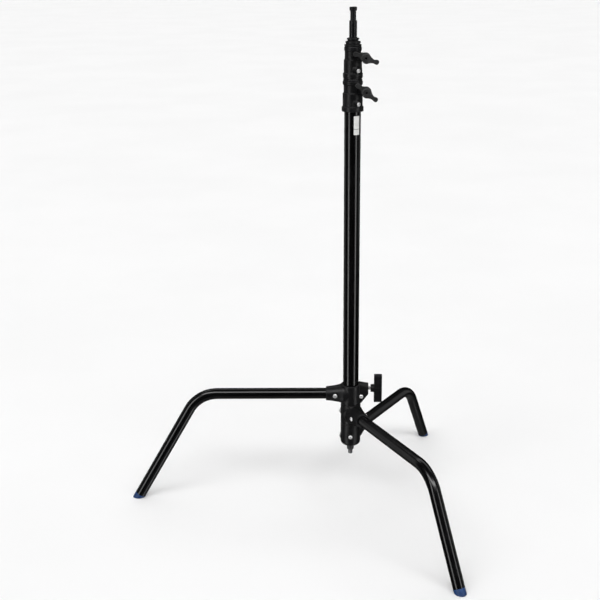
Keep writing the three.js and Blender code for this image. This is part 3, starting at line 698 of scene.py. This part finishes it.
def base_castings():
    front, side, stop = (HUB_SCREWS[n] for n in ("lower_casting_front_screw",
                                                 "lower_casting_side_screw",
                                                 "middle_casting_screw"))
    lower = cast([hub(LOWER_HUB, 10, HUB_EDGE), socket_arm(LEGS["rear"]), hub_boss(front),
                  hub_boss(side)], CASTING_VOXEL, 5)
    bore = rod(HUB_BORE, HUB_FLOOR, LOWER_HUB[1] + PAST, 96)
    bolt_hole = rod(BOTTOM_BOLT["hole"], LOWER_HUB[0] - PAST, HUB_FLOOR + PAST)
    lower = cut(lower, [bore, bolt_hole, *socket_cuts(LEGS["rear"]), *hub_screw_cuts(front),
                        *hub_screw_cuts(side)])
    piece("base_casting_lower", lower, "base", CAST, ["lower_casting"])

    middle = cast([hub(MIDDLE_HUB, HUB_EDGE, HUB_EDGE), socket_arm(LEGS["front"]),
                   hub_boss(stop)], CASTING_VOXEL, 5)
    bore = rod(HUB_BORE, MIDDLE_HUB[0] - PAST, MIDDLE_HUB[1] + PAST, 96)
    middle = cut(middle, [bore, *socket_cuts(LEGS["front"]), *hub_screw_cuts(stop)])
    piece("base_casting_middle", middle, "middle_leg", CAST, ["middle_casting"])

    web = prism(WEB_OUTLINE, -WEB_HALF, WEB_HALF)
    upper = cast([hub(UPPER_HUB, HUB_EDGE, 1.6), socket_arm(LEGS["left"]), clamp_lobe(), web],
                 CASTING_VOXEL, 5)
    bore = rod(SLEEVE_R + GAP, UPPER_HUB[0] - PAST, UPPER_HUB[1] + PAST, 96)
    stud_hole = moved(rod(KNOB_STUD["hole"], HUB_BORE, LOBE_END + PAST), turned(0, KNOB_Z))
    across = facing(NOSE_SCREW["x"], NOSE_SCREW["z"])
    screw_hole = moved(rod(NOSE_SCREW["hole"], NOSE_SCREW["hole_start"], THROUGH), across)
    upper = cut(upper, [bore, *socket_cuts(LEGS["left"]), stud_hole, screw_hole])
    piece("base_casting_upper", upper, "top_leg", CAST, ["upper_casting"])
    screw = socket_screw(*(NOSE_SCREW[k] for k in ("head", "height", "shank", "length", "key")))
    screw = moved(screw, across @ Matrix.Translation((0, 0, LOBE_HALF + GAP)))
    piece("upper_casting_nose_screw", screw, "top_leg", STEEL,
          ["upper_casting_screw"])


def bottom_hardware():
    """The bolt end, nut and washer under the lowest casting."""
    end, core, head, hole = (BOTTOM_BOLT[k] for k in ("end", "core", "head", "hole"))
    head_z0, head_z1 = BOTTOM_BOLT["head_z"]
    blank = revolve(rounded([(0, end), (core, end, 0.8), (core, head_z0, 0.2), (head, head_z0),
                             (head, head_z1), (0, head_z1)], 0.6, 4), 64)
    bolt = cut(blank, [threaded(BOTTOM_BOLT["radius"], *BOTTOM_BOLT["thread"])], "UNION")
    piece("bottom_bolt_end", bolt, "base", ZINC, ["bottom_bolt"])
    nut = hex_nut(BOTTOM_NUT["radius"], hole, *BOTTOM_NUT["z"])
    piece("bottom_lock_nut", nut, "base", ZINC, ["bottom_nut"])
    washer = pipe(hole, BOTTOM_WASHER["radius"], *BOTTOM_WASHER["z"], 0.3)
    piece("bottom_flat_washer", washer, "base", ZINC, ["bottom_washer"])


KNOB_SIDE = [(0, 8.5), (10, 8.3), (16, 7.4), (22, 6.1), (27.4, 6.6), (30.8, 7.6), (32.1, 6.8)]


def lock_knob():
    """A crossbar, waisted towards each end, with a round hub through it, and its stud."""
    upper = [(half, height) for height, half in KNOB_SIDE]
    lower = [(half, -height) for height, half in reversed(KNOB_SIDE[1:])]
    front = lower + upper
    back = [(-half, height) for half, height in reversed(front)]
    bar = prism(front + back, KNOB_BACK, KNOB_FRONT)
    bar = moved(bar, Matrix.Translation((0, 0, KNOB_Z)) @ Matrix.Rotation(-math.pi / 2, 4, "Z"))
    core = moved(revolve(rounded([(0, 45), (8.8, 45, 0.8), (9.2, 52.0), (9.4, 54.0),
                                  (9.4, KNOB_FRONT - 0.3, 1.6), (6.4, KNOB_FRONT), (0, KNOB_FRONT)],
                                 0.8, 4), 72), turned(0, KNOB_Z))
    knob = cast([bar, core], KNOB_VOXEL, 5)
    dish = moved(revolve([(0, KNOB_FRONT - 0.9), (4.2, KNOB_FRONT - 0.9), (4.8, KNOB_FRONT + 4.2),
                          (0, KNOB_FRONT + 4.2)], 48), turned(0, KNOB_Z))
    stud_hole = moved(rod(KNOB_STUD["hole"], OUTSIDE, KNOB_STUD["end"] + GAP), turned(0, KNOB_Z))
    knob = cut(knob, [dish, stud_hole])
    piece("lock_knob_bar", knob, "leg_lock_knob", PLASTIC, ["lock_knob"])
    stud = threaded(KNOB_STUD["radius"], KNOB_STUD["start"], KNOB_STUD["end"], 1.25, 0.4)
    stud = moved(stud, turned(0, KNOB_Z))
    piece("lock_knob_screw", stud, "leg_lock_knob", STEEL, ["lock_knob_stud"])


# ------------------------------------------------------------------ mast clamps

COLLAR_VOXEL = 0.5
HANDLE_VOXEL = 0.42
LUG_ROOT, LUG_STEPS, SLIT_START, SLIT_END = 8.0, 24, 5.0, 60.0

# Each collar's outside as (radius, z) points, and its bores as (radius, bottom, top).
COLLARS = {
    "lower": {"outline": [(23, 904, 1.2), (23, 913.8), (21, 914.9), (21, 942), (19, 943.2),
                          (19, 958.6), (21, 959.7), (21, 966.6)],
              "bores": [(COLUMN_R + GAP, 900, 938.8), (16.9, 930, 970)]},
    "upper": {"outline": [(20.1, 971.9), (20.1, 974.7), (20.8, 975.7), (20.8, 982.9),
                          (18.9, 983.9), (18.9, 1010.2), (17.1, 1011.4), (17.1, 1028.4)],
              "bores": [(RISER_1_R + GAP, 960, 1004.8), (14.2, 1000, 1035)]},
}
BUSHES = {
    "lower": {"inner": 15.3, "sleeve": 16.6, "ring": 20.1, "bottom": 940, "top": 971.2},
    "upper": {"inner": 12.8, "sleeve": 13.9, "ring": 18.2, "bottom": 1007, "top": 1037.2},
}


def collar(name):
    """A split die-cast clamp: a stepped shell, a lug for the handle and a mound for its screw."""
    clamp, outline = CLAMPS[name], COLLARS[name]["outline"]
    bottom, top = outline[0][1], outline[-1][1]
    shell = revolve(rounded([(0, bottom), *outline, (0, top)], 0.5, 3), 120)
    side = [(LUG_ROOT, -LUG_R), (clamp["x"], -LUG_R)]
    side += [(clamp["x"] + LUG_R * math.sin(a), -LUG_R * math.cos(a))
             for a in (math.pi * k / LUG_STEPS for k in range(1, LUG_STEPS))]
    side += [(clamp["x"], LUG_R), (LUG_ROOT, LUG_R)]
    lug = moved(prism(side, -LUG_HALF, LUG_HALF), Matrix.Translation((0, 0, clamp["z"])))
    boss = revolve(rounded([(0, clamp["mound"]), (FIXING["root"], clamp["mound"]),
                            (FIXING["top"], clamp["boss"], 1.0), (0, clamp["boss"])], 0.6, 4), 72)
    fixing = turned(FIXING_AZIMUTH, clamp["screw_z"])
    solid = cast([shell, lug, moved(boss, fixing)], COLLAR_VOXEL, 3)
    tools = [rod(radius, z0, z1, 96) for radius, z0, z1 in COLLARS[name]["bores"]]
    tools.append(box(SLIT_START, SLIT_END, -SLIT_HALF, SLIT_HALF, *clamp["slit"]))
    tools.append(moved(rod(CLAMP_BOLT["hole"], -THROUGH, THROUGH), facing(clamp["x"], clamp["z"])))
    tools.append(moved(rod(FIXING["recess"], clamp["seat"], OUTSIDE), fixing))
    tools.append(moved(rod(FIXING["hole"], FIXING["hole_start"], OUTSIDE), fixing))
    solid = cut(solid, tools)
    piece(f"{name}_clamp_collar", solid, clamp["body"], CAST, [f"{name}_collar"])


def collar_bush(name):
    """The plastic bush inside a collar, with the ring that shows above it."""
    inner, sleeve, ring, bottom, top = (BUSHES[name][k] for k in ("inner", "sleeve", "ring",
                                                                  "bottom", "top"))
    seat = COLLARS[name]["outline"][-1][1] + GAP
    points = [(inner, bottom), (sleeve, bottom), (sleeve, seat), (ring, seat), (ring, top - 1.6),
              (ring - 0.9, top), (inner, top)]
    bush = revolve(rounded(points, 0.4, 3, closed=True), 120, closed=True)
    piece(f"{name}_top_ring", bush, CLAMPS[name]["body"], PLASTIC,
          [f"{name}_collar_bush"])


WING = [(-4, 10.8), (2, 10.6), (7, 7.4), (13, 3.9), (17.5, 3.1), (22, 4.6), (26, 4.3), (28, 1),
        (27, -3.2), (23.5, -5.2), (18, -4.6), (12, -6)]


def smooth_loop(points, per_span=6):
    """A closed curve through points (Catmull-Rom)."""
    out = []
    count = len(points)
    for i in range(count):
        a, b, c, d = (Vector(points[(i + k) % count]) for k in (-1, 0, 1, 2))
        for k in range(per_span):
            s = k / per_span
            out.append(((b * 2) + (c - a) * s + (a * 2 - b * 5 + c * 4 - d) * s * s
                        + (b * 3 - a - c * 3 + d) * s ** 3) / 2)
    return out


def clamp_handle(name):
    """A handle with two curved wings on a round boss, turned to its slope."""
    clamp = CLAMPS[name]
    rim = smooth_loop(WING + [(-u, -v) for u, v in WING])
    blade = prism([(p.x, p.y) for p in rim], -WING_FRONT + 1.2, -WING_BACK)
    crown = revolve(rounded([(0, WING_BACK - 1), (9.8, WING_BACK - 1), (9.2, WING_FRONT, 2.2),
                             (0, WING_FRONT)], 1.0, 6), 72)
    boss = revolve(rounded([(0, LUG_HALF + 1.8), (7.0, LUG_HALF + 1.8), (7.6, WING_BACK + 2),
                            (0, WING_BACK + 2)], 0.6, 3), 64)
    face = facing(0, 0)
    solid = cast([blade, moved(crown, face), moved(boss, face)], HANDLE_VOXEL, 7)
    solid = cut(solid, [moved(rod(CLAMP_BOLT["hole"], 0, BOLT_END + GAP), face),
                        moved(rod(HANDLE_RECESS_R, BOLT_END + 2.5, OUTSIDE), face)])
    tilt = Matrix.Translation((clamp["x"], 0, clamp["z"])) \
        @ Matrix.Rotation(math.radians(clamp["slope"]), 4, "Y")
    piece(f"{name}_wing_handle", moved(solid, tilt), clamp["handle_body"], HANDLE,
          [f"{name}_handle"])


def clamp_hardware(name):
    """The handle's bolt, its washer and its captive nut, and the collar's own fixing screw."""
    clamp = CLAMPS[name]
    across = facing(clamp["x"], clamp["z"])
    bolt = threaded(CLAMP_BOLT["radius"], CLAMP_BOLT["tail"], BOLT_END, 1.25, 0.35)
    piece(f"{name}_handle_stud", moved(bolt, across), clamp["handle_body"], STEEL,
          [f"{name}_handle_bolt"])
    washer = pipe(CLAMP_BOLT["hole"], CLAMP_BOLT["washer"], LUG_HALF + GAP,
                  LUG_HALF + CLAMP_BOLT["washer_end"], 0.3, 64)
    piece(f"{name}_handle_flat_washer", moved(washer, across), clamp["handle_body"], STEEL,
          [f"{name}_handle_washer"])
    nut = hex_nut(CLAMP_BOLT["nut"], CLAMP_BOLT["hole"],
                  -LUG_HALF - GAP - CLAMP_BOLT["nut_height"], -LUG_HALF - GAP)
    piece(f"{name}_captive_nut", moved(nut, across), clamp["body"], STEEL,
          [f"{name}_clamp_nut"])
    height = clamp["boss"] - clamp["seat"] + 0.3
    screw = socket_screw(FIXING["head"], height, FIXING["shank"], FIXING["length"], FIXING["key"])
    screw = moved(screw, turned(FIXING_AZIMUTH, clamp["screw_z"], clamp["seat"] + GAP))
    piece(f"{name}_collar_fixing", screw, clamp["body"], STEEL,
          [f"{name}_collar_screw"])


# ------------------------------------------------------------------ mast

def mast_tube(name, radius, body):
    low, high = limits(name)
    piece(f"{name}_smooth", pipe(radius - WALL, radius, low.z, high.z, 0.35, 128), body, TUBE,
          [name])


# The fitting from its plug inside riser 2 up over its rings and down its bore, and the pin.
FITTING_OUTLINE = [
    (0, 1002), (10.7, 1002), (10.7, 1037.5), (17.2, 1037.5, 0.2), (17.2, 1038.3, 0.2),
    (17.9, 1038.9, 0.3), (17.9, 1040.9), (14.6, 1042.2, 0.4), (14.6, 1043.3, 0.3),
    (15.7, 1043.9, 0.3), (15.7, 1047.6), (10.8, 1048.9), (10.8, 1050.1), (12.8, 1050.8, 0.3),
    (12.8, 1053.8), (9.5, 1055), (8.2, 1055), (8.2, 1009.7), (0, 1009.7),
]
PIN_OUTLINE = [
    (0, 1010), (8, 1010), (8, 1088.4, 1.2), (6, 1090.2, 1.0), (6, 1107.5, 1.0),
    (7.75, 1109.7, 0.6), (7.75, 1115.4), (7.0, 1116.28, 0.3), (0, 1116.28),
]


def top_pin():
    fitting = revolve(rounded(FITTING_OUTLINE, 0.5, 4), 128)
    piece("top_stepped_fitting", fitting, "riser_2", CAST, ["top_fitting"])
    pin = revolve(rounded(PIN_OUTLINE, 0.5, 5), 128)
    piece("top_pin", pin, "riser_2", PIN, ["spigot"])


def column_label():
    """A thin film bent round the column, with rounded corners."""
    radius, thickness = COLUMN_R + 0.1, 0.3
    low, high = limits("label")
    middle = math.radians(-60)
    half_width, corner = 6.5, 1.2
    outline = rounded([(-half_width, low.z), (half_width, low.z), (half_width, high.z),
                       (-half_width, high.z)], corner, 5, closed=True)
    film = prism([(p.x, p.y) for p in outline], 0, thickness)
    for _ in range(4):
        bmesh.ops.subdivide_edges(film, edges=[e for e in film.edges
                                               if abs(e.verts[0].co.x - e.verts[1].co.x) > 1.6],
                                  cuts=1, use_grid_fill=True)
    bmesh.ops.triangulate(film, faces=[f for f in film.faces if len(f.verts) > 4])
    for vertex in film.verts:
        angle = middle + vertex.co.x / radius
        reach = radius + vertex.co.y
        vertex.co.x, vertex.co.y = reach * math.cos(angle), reach * math.sin(angle)
    bmesh.ops.recalc_face_normals(film, faces=film.faces)
    piece("blank_label", film, "base", LABEL, ["label"])


HIDDEN_FINISH = {
    "bottom_plug": PLASTIC, "lower_thrust_washer": BLACK_NYLON,
    "upper_thrust_washer": BLACK_NYLON, "leg_sleeve": BLACK_NYLON, "brake_pad": NYLON,
    "riser_1_guide_bush": NYLON, "riser_2_guide_bush": NYLON,
}


def finish_hidden_nodes():
    """Gives the CAD nodes that no piece replaces their own finish."""
    for name, finish in HIDDEN_FINISH.items():
        node = NODES[name]
        node.data.materials.clear()
        node.data.materials.append(finish)


# ------------------------------------------------------------------ stage

def floor():
    mesh = bpy.data.meshes.new("floor")
    reach = 30.0
    mesh.from_pydata([(-reach, -reach, 0), (reach, -reach, 0), (reach, reach, 0), (-reach, reach, 0)],
                     [], [(0, 1, 2, 3)])
    plane = bpy.data.objects.new("floor", mesh)
    bpy.context.scene.collection.objects.link(plane)
    g = Graph("floor_white")
    g.link(g.mix(g.spread(g.noise(0.8), 0.3, 0.7, 0, 1), (0.86, 0.86, 0.86), (0.88, 0.88, 0.88)),
           g.shader.inputs["Base Color"])
    g.shader.inputs["Roughness"].default_value = 0.9
    mesh.materials.append(g.material)
    plane.visible_glossy = False


class World(Nodes):
    """The studio's surroundings as a function of direction."""

    def __init__(self):
        self.world = bpy.data.worlds.new("studio")
        self.world.use_nodes = True
        self.tree = self.world.node_tree
        self.tree.nodes.clear()
        bpy.context.scene.world = self.world
        parts = self.add("ShaderNodeSeparateXYZ")
        self.link(self.add("ShaderNodeTexCoord").outputs["Generated"], parts.inputs[0])
        self.height = parts.outputs["Z"]
        self.azimuth = self.math("ARCTAN2", parts.outputs["Y"], parts.outputs["X"])

    def math(self, operation, *values):
        node = self.add("ShaderNodeMath", operation=operation)
        for socket, value in zip(node.inputs, values):
            if isinstance(value, (int, float)):
                socket.default_value = value
            else:
                self.link(value, socket)
        return node.outputs[0]

    def window(self, value, low, high, soft):
        """One between low and high, and nothing outside them, with soft edges."""
        return self.math("MULTIPLY", self.spread(value, low - soft, low + soft, 0, 1),
                         self.spread(value, high - soft, high + soft, 1, 0))

    def panel(self, degrees, half, low, high, strength):
        """A lit panel: its middle azimuth, half its width, its heights as sines, its strength."""
        middle, reach = math.radians((degrees + 180) % 360 - 180), math.radians(half)
        across = self.window(self.azimuth, middle - reach, middle + reach, 0.05)
        lit = self.math("MULTIPLY", across, self.window(self.height, low, high, 0.06))
        return self.math("MULTIPLY", lit, strength)


def studio_world():
    """Dim surroundings with tall strip lights and a top panel. The camera itself sees white."""
    w = World()
    light = w.spread(w.height, -0.8, -0.45, FLOOR_GLOW, DIM_SURROUND)
    for panel in PANELS:
        light = w.math("ADD", light, w.panel(*panel))
    seen = w.add("ShaderNodeMix", data_type="FLOAT")
    w.link(w.add("ShaderNodeLightPath").outputs["Is Camera Ray"], seen.inputs["Factor"])
    w.link(light, seen.inputs[2])
    seen.inputs[3].default_value = WHITE_AROUND
    background = w.add("ShaderNodeBackground")
    w.link(seen.outputs[0], background.inputs["Strength"])
    w.link(background.outputs[0], w.add("ShaderNodeOutputWorld").inputs["Surface"])


CAMERA = {"distance": 2298.2, "height": 1230.9, "yaw": -2.846, "pitch": 17.959, "roll": -0.496,
          "lens": 65.12}
TO_CAMERA = -90.0
PANELS = [(TO_CAMERA - 48, 7, -0.85, 0.55, 5.0), (TO_CAMERA + 56, 7, -0.85, 0.55, 4.5),
          (TO_CAMERA + 117, 15, -0.25, 0.5, 0.5), (TO_CAMERA - 120, 15, -0.4, 0.5, 0.55),
          (TO_CAMERA, 60, 0.68, 0.83, 8.5), (TO_CAMERA + 179, 60, 0.68, 0.83, 2.0)]
FLOOR_GLOW = 0.2
DIM_SURROUND = 0.012
WHITE_AROUND = 1.2
DAYLIGHT = 1.2


def camera():
    data = bpy.data.cameras.new("camera")
    data.lens, data.sensor_width = CAMERA["lens"], 36.0
    data.clip_start, data.clip_end = 0.05, 200
    view = bpy.data.objects.new("camera", data)
    bpy.context.scene.collection.objects.link(view)
    yaw, pitch, roll = (math.radians(CAMERA[k]) for k in ("yaw", "pitch", "roll"))
    forward = Vector((math.sin(yaw) * math.cos(pitch), math.cos(yaw) * math.cos(pitch),
                      -math.sin(pitch)))
    level = Vector((math.cos(yaw), -math.sin(yaw), 0))
    upright = level.cross(forward)
    right = level * math.cos(roll) + upright * math.sin(roll)
    up = upright * math.cos(roll) - level * math.sin(roll)
    matrix = Matrix((right, up, -forward)).transposed().to_4x4()
    place = AXIS + Vector((0, -CAMERA["distance"], CAMERA["height"])) * MM
    view.matrix_world = Matrix.Translation(place) @ matrix
    bpy.context.scene.camera = view


def soft_light():
    """One very broad light from above, so that the feet have soft shadows."""
    data = bpy.data.lights.new("overhead", "SUN")
    data.energy, data.angle = DAYLIGHT, math.radians(110)
    lamp = bpy.data.objects.new("overhead", data)
    lamp.rotation_euler = (math.radians(-8), math.radians(-6), 0)
    lamp.visible_glossy = False
    bpy.context.scene.collection.objects.link(lamp)


# ------------------------------------------------------------------ build

camera()
studio_world()
soft_light()
floor()
bpy.context.scene.view_settings.view_transform = "Standard"

for leg_name, leg_sizes in LEGS.items():
    leg_tube(leg_name, leg_sizes)
    foot(leg_name, leg_sizes)
    leg_hardware(leg_name, leg_sizes)
base_castings()
for screw_name, screw_place in HUB_SCREWS.items():
    hub_screw(screw_name, screw_place)
bottom_hardware()
lock_knob()

mast_tube("column_tube", COLUMN_R, "base")
mast_tube("riser_1_tube", RISER_1_R, "riser_1")
mast_tube("riser_2_tube", RISER_2_R, "riser_2")
for clamp_name in CLAMPS:
    collar(clamp_name)
for clamp_name in CLAMPS:
    collar_bush(clamp_name)
for clamp_name in CLAMPS:
    clamp_handle(clamp_name)
    clamp_hardware(clamp_name)
top_pin()
column_label()
finish_hidden_nodes()
